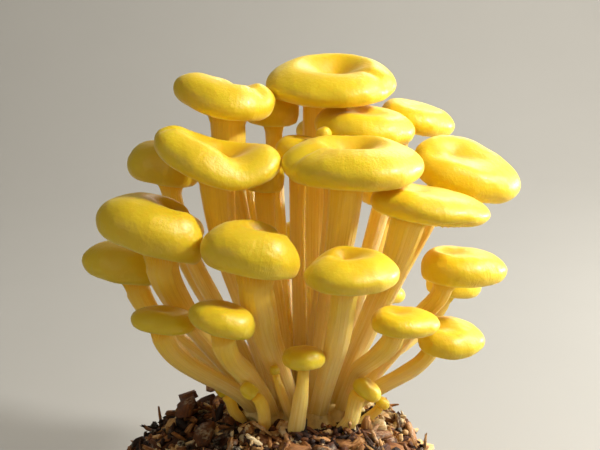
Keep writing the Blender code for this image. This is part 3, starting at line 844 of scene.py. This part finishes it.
def streak_value(tree, grain, around, along):
    """Streaks on a piece's grain. around and along say how many there are each way."""
    given = {"Grain": grain, "Around": around, "Along": along}
    return put(tree, "ShaderNodeGroup", given, node_tree=streaks).outputs["Value"]


def start_material(name, **values):
    """A new material and its Principled shader, with the values that are the same all over the surface."""
    material = bpy.data.materials.new(name)
    material.use_nodes = True
    shader = material.node_tree.nodes["Principled BSDF"]
    for label, value in values.items():
        shader.inputs[label.replace("_", " ")].default_value = value
    return material, material.node_tree, shader


# %% Mushroom flesh
# Colours along the mushroom: the place is tone over its highest value, from the dimple to the foot.
HIGHEST_TONE = 3.0
FLESH_STOPS = [
    (0.00, (0.74, 0.42, 0.001)),
    (0.09, (0.78, 0.49, 0.002)),
    (0.19, (0.82, 0.56, 0.004)),
    (0.29, (0.82, 0.59, 0.006)),
    (0.345, (0.82, 0.60, 0.008)),
    # Paler band on the rolled margin: a painted highlight for the back-lit edge.
    (0.365, (0.86, 0.68, 0.07)),
    # Deep gold on gills and neck: their own yellow, deepened to paint the warm bounced shade under the caps.
    (0.40, (0.82, 0.52, 0.010)),
    (0.58, (0.82, 0.51, 0.012)),
    (0.68, (0.84, 0.60, 0.05)),
    (0.80, (0.86, 0.68, 0.19)),
    (0.93, (0.84, 0.68, 0.26)),
    (1.00, (0.58, 0.42, 0.11)),
]
STREAK_COLOUR = (0.60, 0.36, 0.020)
PALE_COLOUR = (0.92, 0.80, 0.42)
BLOTCH_COLOUR = (0.84, 0.44, 0.010)
SPECK_COLOUR = (0.55, 0.30, 0.05)
# The colour emitted on gills and stem: a painted glow for light coming through the flesh.
PAINTED_GLOW_COLOUR = (0.80, 0.36, 0.004)


def make_flesh():
    """Moist golden flesh whose colour follows tone along the mushroom.

    Dark streaks and pale ones run down the stem, blotches and specks lie over all of it. The relief is ribs on
    the stem and pebbled skin on the cap.
    """
    material, tree, shader = start_material(
        "mushroom_flesh",
        # A weak emission paints a glow on gills and stem.
        Emission_Strength=0.10,
        Subsurface_Weight=0.45,
        Subsurface_Radius=(1.0, 0.65, 0.08),
        Subsurface_Scale=0.004,
        Coat_Roughness=0.20,
        Specular_IOR_Level=0.60,
        Sheen_Weight=0.18,
        Sheen_Roughness=0.45,
        Sheen_Tint=(1.0, 0.94, 0.68, 1.0),
    )
    tone = put(tree, "ShaderNodeAttribute", attribute_name="tone").outputs["Fac"]
    grain = put(tree, "ShaderNodeAttribute", attribute_name="grain").outputs["Vector"]
    fine = streak_value(tree, grain, 16.0, 0.40)
    broad = streak_value(tree, grain, 4.5, 0.25)
    dark = times(tree, fit_range(tree, fine, 0.40, 0.72), fit_range(tree, tone, 1.9, 2.15))
    pale = times(tree, fit_range(tree, broad, 0.50, 0.75), fit_range(tree, tone, 1.95, 2.7))
    colour = ramp(tree, reckon(tree, "DIVIDE", tone, HIGHEST_TONE), FLESH_STOPS)
    for mask, share, other in (
        (dark, 0.62, STREAK_COLOUR),
        (pale, 0.75, PALE_COLOUR),
        (blotch_mask(tree, 70.0, 0.45, 0.75), 0.22, BLOTCH_COLOUR),
        (blotch_mask(tree, 900.0, 0.70, 0.76), 0.25, SPECK_COLOUR),
    ):
        colour = blend_colours(tree, times(tree, mask, share), colour, other)
    ribbed = times(tree, fine, fit_range(tree, tone, 0.5, 2.1, 0.07, 1.0))
    pebbled = times(tree, blotch_mask(tree, 900.0, 0.25, 0.75), fit_range(tree, tone, 0.3, 0.8, 0.15, 0.30))
    pebbled = times(tree, pebbled, fit_range(tree, tone, 2.2, 1.1, 0.3, 1.0))
    relief = reckon(tree, "ADD", ribbed, pebbled)
    # Where the painted glow shows: from the underside down the stem, fading out towards the foot.
    glow = times(tree, fit_range(tree, tone, 1.1, 1.5), fit_range(tree, tone, 3.0, 2.4))
    connect(
        tree,
        shader,
        relief,
        0.55,
        0.0006,
        Base_Color=colour,
        Roughness=fit_range(tree, blotch_mask(tree, 260.0, 0.30, 0.70), 0.0, 1.0, 0.40, 0.52),
        Emission_Color=blend_colours(tree, glow, (0.0, 0.0, 0.0), PAINTED_GLOW_COLOUR),
        Coat_Weight=fit_range(tree, tone, 1.9, 2.2, 0.10, 0.40),
    )
    return material


flesh = make_flesh()


# %% Butt
def make_butt():
    """Pale felty flesh at the stems' feet, stained by the wood."""
    material, tree, shader = start_material(
        "pale_butt",
        Roughness=0.62,
        Subsurface_Weight=0.2,
        Subsurface_Radius=(1.0, 0.6, 0.25),
        Subsurface_Scale=0.003,
    )
    colour = ramp(
        tree,
        blotch_mask(tree, 160.0, 0.25, 0.75),
        [(0.0, (0.54, 0.37, 0.11)), (0.45, (0.68, 0.51, 0.18)), (1.0, (0.80, 0.65, 0.30))],
    )
    stain = times(tree, blotch_mask(tree, 420.0, 0.55, 0.70), 0.5)
    colour = blend_colours(tree, stain, colour, (0.34, 0.20, 0.08))
    felt = put(tree, "ShaderNodeTexNoise", {"Scale": 900.0, "Detail": 4.0})
    tree.links.new(put(tree, "ShaderNodeTexCoord").outputs["Object"], felt.inputs["Vector"])
    connect(tree, shader, felt.outputs["Fac"], 0.5, 0.0005, Base_Color=colour)
    return material


butt_flesh = make_butt()

# %% Packed wood and loose wood
# Colours of wood by tint, from wet bark to dry pale splinters.
WOOD_STOPS = [
    (0.00, (0.010, 0.005, 0.003)),
    (0.25, (0.045, 0.015, 0.006)),
    (0.45, (0.17, 0.056, 0.015)),
    (0.65, (0.44, 0.20, 0.060)),
    (0.82, (0.68, 0.42, 0.16)),
    (1.00, (0.88, 0.71, 0.42)),
]


def make_wood(name, mould, rough):
    """Wood in pieces: tint picks each piece's own colour, streaks run along it, and mould lies in patches.

    mould is how much of the white shows, and rough the middle of the roughness.
    """
    material, tree, shader = start_material(name, Specular_IOR_Level=0.30)
    tint = put(tree, "ShaderNodeAttribute", attribute_name="tint").outputs["Fac"]
    grain = put(tree, "ShaderNodeAttribute", attribute_name="grain").outputs["Vector"]
    fine = streak_value(tree, grain, 2.2, 0.35)
    shade = reckon(tree, "ADD", tint, fit_range(tree, fine, 0.2, 0.8, -0.16, 0.16))
    shade = reckon(tree, "ADD", shade, fit_range(tree, blotch_mask(tree, 500.0, 0.3, 0.7), 0.0, 1.0, -0.06, 0.06))
    colour = ramp(tree, shade, WOOD_STOPS)
    dirt = times(tree, blotch_mask(tree, 320.0, 0.52, 0.66), 0.55)
    colour = blend_colours(tree, dirt, colour, (0.045, 0.020, 0.010))
    white = times(tree, blotch_mask(tree, 130.0, 0.54, 0.66), mould)
    white = times(tree, white, blotch_mask(tree, 900.0, 0.42, 0.60))
    colour = blend_colours(tree, white, colour, (0.82, 0.74, 0.56))
    rough = fit_range(tree, fine, 0.2, 0.8, rough - 0.15, rough + 0.12)
    connect(tree, shader, fine, 0.9, 0.0005, Base_Color=colour, Roughness=rough)
    return material


packed_wood = make_wood("packed_wood", 0.75, 0.80)
loose_wood = make_wood("loose_wood", 0.45, 0.68)
print("materials:", [material.name for material in (flesh, butt_flesh, packed_wood, loose_wood)])

# %% [markdown]
# ## The mushrooms
#
# Cap, neck and stem of a mushroom are one unbroken stack of rings, so they become one mesh, and its gills are
# added to the same mesh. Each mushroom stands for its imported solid.


# %% The gills of one cap
GILL_START = 13.5  # where gills start on the cap's section, just inside its lowest point
GILL_CAP_ROWS, GILL_NECK_ROWS = 12, 6


def gill_arrays(m, path, radius):
    """Points, faces and values of all the gills of one cap."""
    line = curve_through(CAP_SECTION, np.linspace(GILL_START, len(CAP_SECTION) - 1.0, GILL_CAP_ROWS))

    def body_rows(angles):
        stem, _ = stem_surface(m, path, radius, angles, 60)
        upper = cap_surface(m, line, angles)
        return np.concatenate([upper, neck_surface(m, upper[-1], stem[0], GILL_NECK_ROWS)])

    tones = np.concatenate([line[:, 2], np.linspace(1.66, 1.96, GILL_NECK_ROWS)])
    blades = gill_blades(m, body_rows, len(tones))
    count, rows = blades.shape[:2]
    each = rows * 3 + 2
    ends = blades[:, [0, -1]].mean(axis=2)
    points = np.concatenate([blades.reshape(count, rows * 3, 3), ends], axis=1).reshape(-1, 3)
    quads, triangles = stack_faces(rows, 3)
    shift = (np.arange(count) * each)[:, None, None]
    tone = np.concatenate([np.repeat(tones, 3), [tones[0], tones[-1]]])
    grain = np.column_stack([tone * 0.5, np.zeros(each), tone])
    grain = np.concatenate([grain + [0.37 * k, 0.0, 0.0] for k in range(count)])
    faces = ((quads[None] + shift).reshape(-1, 4), (triangles[None] + shift).reshape(-1, 3))
    return points, faces, np.tile(tone, count), grain


# %% One mushroom
LARGE_CAP, GILLED_CAP = 11.0, 5.0  # half-widths from which a cap is finer, and has gills


def build_mushroom(index, m, path, radius):
    """One mushroom as one piece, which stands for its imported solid.

    It gives back its number of triangles, and how far it reaches outside its solid's box. Its grain is a
    cylinder's: around the piece, and along it in centimetres.
    """
    wide = m.half[0]
    fine, middling, coarse = (144, 64, 10), (96, 44, 8), (56, 26, 5)
    columns, cap_rows, neck_rows = fine if wide >= LARGE_CAP else middling if wide >= GILLED_CAP else coarse
    angles = np.linspace(0.0, TURN, columns, endpoint=False)
    where = even_steps(CAP_SECTION, cap_rows, np.array([wide, m.thick, 0.0]))
    line = curve_through(CAP_SECTION, where)
    cap = cap_surface(m, line, angles)
    stem, t = stem_surface(m, path, radius, angles, int(24 + np.linalg.norm(path[-1] - path[0]) * 0.7))
    neck = neck_surface(m, cap[-1], stem[0], neck_rows)
    rings = np.concatenate([cap, neck, stem])
    tones = np.concatenate([line[:, 2], np.linspace(1.62, 1.98, neck_rows), 2.0 + t])
    crown = cap_surface(m, np.array([[0.0, 1.0, 0.0]]), angles[:1])[0, 0]
    points, quads, triangles = closed_stack(rings, first=crown)
    steps = np.linalg.norm(np.diff(rings[:, 0], axis=0), axis=1)
    along = np.concatenate([[0.0], np.cumsum(steps)]) * 0.1 + 7.3 * index
    spread = np.broadcast_to(along[:, None], (len(rings), columns))
    grain = np.stack([np.cos(angles) + 0 * spread, np.sin(angles) + 0 * spread, spread], axis=-1).reshape(-1, 3)
    grain = np.concatenate([grain, [[0.0, 0.0, along[0]], [0.0, 0.0, along[-1]]]])
    tone = np.concatenate([np.repeat(tones, columns), [0.0, 3.0]])
    if wide >= GILLED_CAP:
        more, faces, more_tone, more_grain = gill_arrays(m, path, radius)
        quads = np.concatenate([quads, faces[0] + len(points)])
        triangles = np.concatenate([triangles, faces[1] + len(points)])
        points = np.concatenate([points, more])
        tone = np.concatenate([tone, more_tone])
        grain = np.concatenate([grain, more_grain + [0.0, 0.0, 7.3 * index]])
    piece = new_piece(f"{m.name}_body", points, quads, triangles, flesh, {"tone": tone, "grain": grain})
    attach(piece, "root")
    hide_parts(m.name)
    low, high = (np.array(corner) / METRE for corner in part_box(m.name))
    stray = max((low - points.min(axis=0)).max(), (points.max(axis=0) - high).max())
    return 2 * len(quads) + len(triangles), stray


# %% All the mushrooms
measured = [build_mushroom(i, m, paths[i], radii[i]) for i, m in enumerate(CLUSTER)]
print("triangles in the mushrooms:", sum(count for count, _ in measured))
worst = max(range(len(CLUSTER)), key=lambda i: measured[i][1])
print("furthest outside its solid's box, mm:", CLUSTER[worst].name, round(measured[worst][1], 2))

# %% [markdown]
# ## The fused butt
#
# At the bottom the stems run together into one pale mass. Its top is a low dome that rises close to every foot,
# so no foot looks set down on it, and under each outer foot a soft flute carries the stem's line on down the
# side into the wood.


# %% The butt
def butt_surface(columns=192, rows=64):
    """Rings of the butt, from near the middle of its top, out to the edge and down the side.

    Over the top the height at a point is a dome's, raised towards the level of the feet by a share that falls off
    exponentially with the distance from the nearest stem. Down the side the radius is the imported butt's, plus the
    tallest of the bells that stand at the azimuths of the outer feet.
    """
    angles = np.linspace(0.0, TURN, columns, endpoint=False)
    feet = paths[:, 0]
    thick = radii[:, 0]
    reach = np.linalg.norm(feet[:, :2] - AXIS, axis=1)
    azimuth = np.arctan2(feet[:, 1] - AXIS[1], feet[:, 0] - AXIS[0])
    on_top = np.array([stands_on_butt(m) for m in CLUSTER])
    outer = on_top & (reach + thick > BUTT_HALF - 4.5)
    apart = (angles[:, None] - azimuth[outer] + math.pi) % TURN - math.pi
    bells = np.exp(-((apart * BUTT_HALF / (thick[outer] * 1.15)) ** 2))
    flute = bells.max(axis=1) * 1.9 - 1.1
    t = np.linspace(0.0, 1.0, rows)
    share = np.minimum(1.0, t / 0.62) * 0.98 + 0.02 * ease(t, 0.6, 0.7)
    fall = ease(t, 0.58, 1.0)
    edge = butt_half(FOOT_LEVEL - 7.5 * fall) - 2.2 * ease(t, 0.85, 1.0)
    ring = share[:, None] * (edge[:, None] + flute * ease(t, 0.25, 0.62)[:, None])
    x = AXIS[0] + ring * np.cos(angles)
    y = AXIS[1] + ring * np.sin(angles)
    far = np.hypot(x[..., None] - feet[on_top, 0], y[..., None] - feet[on_top, 1]) - thick[on_top]
    dome = FOOT_LEVEL - 0.8 - 4.6 * ease(np.hypot(x - AXIS[0], y - AXIS[1]), 8.0, 21.0)
    top = dome + (FOOT_LEVEL + 1.0 - dome) * np.exp(-np.clip(far.min(axis=-1), 0.0, None) / 1.8)
    z = np.where(t[:, None] < 0.60, top, top * (1.0 - fall[:, None]) + (FOOT_LEVEL - 10.0) * fall[:, None])
    points = np.stack([x, y, z], axis=-1)
    return points + unit(points - [*AXIS, 38.0]) * (ripple(points, 5.0, 21) * 0.35)[..., None]


piece = new_piece("butt_mass", *closed_stack(butt_surface()), butt_flesh)
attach(piece, "root")
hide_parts("fused_butt")
print("faces in the butt:", len(piece.data.polygons))

# %% [markdown]
# ## The substrate
#
# The lump is packed wood chips, bound by the fungus. A mound with strong uneven relief fills its shape, and its
# skin is made of loose pieces: flat chips, long splinters and crumbs. All chips of one sort share one recipe, a
# box of a few stations whose corners are shaken at random, so each is cheap and no two are alike.

# %% The mound
# Points of the mound's section: half-width, height, and how far the ring's middle has moved to the origin.
MOUND_SECTION = [
    (5.0, 40.6, 0.00),
    (13.0, 41.6, 0.05),
    (20.0, 42.2, 0.15),
    (26.0, 42.0, 0.35),
    (32.0, 40.8, 0.60),
    (37.5, 37.6, 0.90),
    (42.0, 33.0, 1.00),
    (45.2, 28.0, 1.00),
    (47.8, 20.5, 1.00),
    (48.8, 12.5, 1.00),
    (47.8, 5.5, 1.00),
    (45.8, 1.2, 1.00),
    (43.5, 0.0, 1.00),
    (24.0, 0.0, 1.00),
]


SHOULDER_DROP = 2.4  # how much lower the top's outer part is than its section says
BACK_SLOPE = 0.085  # how much the top falls towards the back, for each millimetre


def mound_point(where, angles):
    """Points of the mound: its section at where, turned to the azimuths angles, and shaken by uneven relief.

    The top is lowered towards its shoulder and towards the back, and the sides keep their height.
    """
    half, height, share = np.moveaxis(curve_through(MOUND_SECTION, where.ravel()).reshape(*where.shape, 3), -1, 0)
    x = AXIS[0] * (1.0 - share) + half * np.cos(angles)
    y = AXIS[1] * (1.0 - share) + half * np.sin(angles)
    fall = SHOULDER_DROP * ease(half, 14.0, 34.0) + BACK_SLOPE * y
    z = height - fall * ease(height, 18.0, 36.0)
    points = np.stack([x, y, z], axis=-1)
    relief = 1.3 * ripple(points, 15.0, 31) + 0.9 * ripple(points, 6.0, 32) + 0.5 * ripple(points, 2.6, 33)
    keep = ease(z, 0.0, 6.0)
    return points + unit(points - [0.0, 0.0, 12.0]) * (relief * keep)[..., None]


def build_mound(columns=240, rows=110):
    """The mound's mesh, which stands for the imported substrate."""
    angles = np.linspace(0.0, TURN, columns, endpoint=False)
    where = even_steps(MOUND_SECTION, rows, np.array([1.0, 1.0, 0.0]))
    rings = mound_point(*np.broadcast_arrays(where[:, None], angles))
    points, quads, triangles = closed_stack(rings, last=np.zeros(3))
    points[:, 2] = np.maximum(points[:, 2], 0.0)
    tint = 0.28 + 0.14 * ripple(points, 7.0, 34) + 0.08 * ripple(points, 2.0, 35)
    values = {"tint": tint, "grain": points * 0.35}
    piece = new_piece("substrate_mound", points, quads, triangles, packed_wood, values)
    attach(piece, "root")
    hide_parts("substrate")


build_mound()

# %% One chip
STATIONS = np.array([-1.0, -0.6, 0.05, 0.62, 1.0])  # along a chip, as shares of its half-length
CORNERS = np.array([(-1.0, -1.0), (1.0, -1.0), (1.0, 1.0), (-1.0, 1.0)])
CHIP_POINTS = len(STATIONS) * len(CORNERS)


def chip_points(sizes, rng):
    """Points (chip, station, corner, 3) of chips in their own axes: long way x, wide way y, flat way z.

    Each chip is a box of five stations. Its ends are narrower and ragged, it bends a little, and every corner is
    shaken by a share of the chip's own size.
    """
    count = len(sizes)
    shape = (count, len(STATIONS), len(CORNERS))
    x = np.broadcast_to(STATIONS[None, :, None], shape) + rng.uniform(-0.14, 0.14, shape)
    spans = ((0.15, 0.8), (0.7, 1.1), None, (0.7, 1.1), (0.15, 0.8))
    full = np.stack([rng.uniform(*span, count) if span else np.ones(count) for span in spans], axis=1)
    y = CORNERS[:, 0] * full[..., None] + rng.uniform(-0.16, 0.16, shape)
    z = CORNERS[:, 1] * (0.35 + 0.65 * full[..., None]) + rng.uniform(-0.35, 0.35, shape)
    half = sizes[:, None, None, :] * 0.5
    local = np.stack([x, y, z], axis=-1) * half
    bend = rng.uniform(-0.10, 0.16, count)[:, None, None]
    local[..., 2] += bend * x**2 * half[..., 0]
    local[..., 1] += rng.uniform(-0.10, 0.10, count)[:, None, None] * x**2 * half[..., 0]
    return local


# %% Chips in one mesh
def chip_mesh(name, local, places, axes, tints, material):
    """One mesh of many chips. axes holds each chip's three unit vectors, as rows."""
    count = len(local)
    world = np.einsum("nsci,nij->nscj", local, axes) + places[:, None, None, :]
    step = np.arange(4)[:, None] * 4
    corner = np.arange(4)
    beside = (corner + 1) % 4
    quads = np.stack([step + corner, step + beside, step + 4 + beside, step + 4 + corner], axis=-1).reshape(-1, 4)
    quads = np.concatenate([quads, [[3, 2, 1, 0], [16, 17, 18, 19]]])[:, ::-1]
    quads = (quads[None] + (np.arange(count) * CHIP_POINTS)[:, None, None]).reshape(-1, 4)
    grain = np.stack([local[..., 1] * 0.9, local[..., 2] * 0.9, local[..., 0] * 0.25], axis=-1)
    grain = grain + (np.arange(count) * 3.7)[:, None, None, None]
    values = {"tint": np.repeat(tints, CHIP_POINTS), "grain": grain.reshape(-1, 3)}
    piece = new_piece(name, world.reshape(-1, 3), quads, np.zeros((0, 3), int), material, values, smooth=False)
    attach(piece, "root")
    return piece


# %% Loose wood
def scatter(name, count, long, wide, flat, seed, lowest, highest, tilt, sink, tint, keep_out):
    """Chips strewn over the mound between two places of its section.

    long, wide and flat are the ranges of a chip's sizes. tilt is how far it may stand off the surface, sink how
    deep it lies in it, as a share of its thickness, and keep_out the least distance from the cluster's axis. tint
    is the middle tint. It drifts from patch to patch, and it grows a little towards +x, the key light's side,
    which is painted light.
    """
    rng = np.random.default_rng(seed)
    where = rng.uniform(lowest, highest, count)
    angle = rng.uniform(0.0, TURN, count)
    place = mound_point(where, angle)
    east = mound_point(where, angle + 0.02) - place
    south = mound_point(where + 0.02, angle) - place
    normal = unit(np.cross(south, east))
    near = np.linalg.norm(place[:, :2] - AXIS, axis=1) > keep_out
    place, east, normal = place[near], east[near], normal[near]
    count = len(place)
    sizes = np.stack([rng.uniform(*span, count) for span in (long, wide, flat)], axis=1)
    up = unit(normal + rng.normal(0.0, tilt, (count, 3)))
    spin = rng.uniform(0.0, TURN, count)[:, None]
    side = unit(np.cross(up, east))
    ahead = unit(np.cos(spin) * np.cross(side, up) + np.sin(spin) * side)
    axes = np.stack([ahead, np.cross(up, ahead), up], axis=1)
    place = place + up * (sizes[:, 2:3] * (0.5 - sink)) + normal * rng.uniform(0.0, 0.8, (count, 1))
    # The term in x is painted light: the chips get paler towards the key light on the right.
    tints = rng.normal(tint, 0.26, count) + 0.002 * place[:, 0] + 0.20 * ripple(place, 26.0, 36)
    tints = np.clip(tints, 0.02, 0.98)
    local = chip_points(sizes, rng)
    lowest_corner = np.einsum("nsci,nij->nscj", local, axes)[..., 2].min(axis=(1, 2)) + place[:, 2]
    place[:, 2] += np.clip(GAP - lowest_corner, 0.0, None)
    return chip_mesh(name, local, place, axes, tints, loose_wood)


scatter("bark_chips", 520, (3.0, 7.5), (2.2, 4.6), (0.8, 1.8), 41, 1.6, 11.0, 0.40, 0.4, 0.30, 19.0)
scatter("shavings", 120, (6.0, 11.0), (3.0, 6.0), (0.7, 1.4), 45, 1.6, 10.0, 0.45, 0.25, 0.52, 21.0)
scatter("splinters", 640, (4.0, 12.0), (0.7, 1.7), (0.5, 1.0), 42, 1.6, 11.0, 0.28, 0.1, 0.50, 19.5)
scatter("crumbs", 3800, (0.9, 2.8), (0.7, 2.0), (0.5, 1.5), 43, 1.2, 11.2, 0.9, 0.1, 0.33, 17.0)
scatter("pale_crumbs", 420, (0.8, 3.2), (0.4, 1.4), (0.3, 0.7), 44, 1.2, 11.0, 0.5, 0.0, 0.86, 18.0)

# %% [markdown]
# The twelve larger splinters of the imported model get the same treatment, each in the place of its own solid. A
# solid's long, wide and flat directions are the principal axes of its corners.


# %% The larger splinters
def principal_box(node):
    """Middle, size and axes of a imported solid, from the spread of its points."""
    mesh = frame["nodes"][node].data
    corners = np.empty(len(mesh.vertices) * 3)
    mesh.vertices.foreach_get("co", corners)
    corners = np.unique(np.round(corners.reshape(-1, 3) / METRE, 3), axis=0)
    middle = (corners.min(axis=0) + corners.max(axis=0)) / 2.0
    axes = np.linalg.svd(corners - corners.mean(axis=0))[2]
    axes[2] *= np.sign(axes[2][2])
    axes[1] = np.cross(axes[2], axes[0])
    spread = (corners - middle) @ axes.T
    return middle, np.ptp(spread, axis=0), axes


def build_large_chips():
    """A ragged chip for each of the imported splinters."""
    rng = np.random.default_rng(51)
    for node in sorted(name for name in frame["nodes"] if name.startswith("wood_chip")):
        middle, size, axes = principal_box(node)
        local = chip_points(size[None] * [[1.0, 1.0, 0.8]], rng)
        tint = np.array([rng.uniform(0.35, 0.85)])
        piece = chip_mesh(f"{node}_split", local, middle[None], axes[None], tint, loose_wood)
        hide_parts(node)


build_large_chips()

# %% [markdown]
# ## The studio
#
# Floor and backdrop are one pale sheet. It runs level under the object and curves up behind it.


# %% Floor sheet
def build_floor():
    """A pale sheet: level, then a quarter of an ellipse, then upright."""
    t = np.linspace(0.0, math.pi / 2.0, 24)
    bend = np.stack([500.0 + 400.0 * np.sin(t), 400.0 - 400.0 * np.cos(t)], axis=1)
    line = np.concatenate([[[-1500.0, 0.0]], bend, [[900.0, 1800.0]]])
    sides = np.array([-2500.0, 2500.0])
    points = np.array([[[x, y, z - 0.05] for x in sides] for y, z in line]).reshape(-1, 3)
    start = np.arange(len(line) - 1) * 2
    quads = np.stack([start, start + 1, start + 3, start + 2], axis=1)
    material, tree, shader = start_material("studio_paper", Roughness=0.95)
    paper = blotch_mask(tree, 6.0, 0.3, 0.7)
    colour = blend_colours(tree, times(tree, paper, 0.5), (0.42, 0.41, 0.385), (0.39, 0.38, 0.355))
    tree.links.new(colour, shader.inputs["Base Color"])
    floor = new_piece("floor_sheet", points, quads, np.zeros((0, 3), int), material)


build_floor()
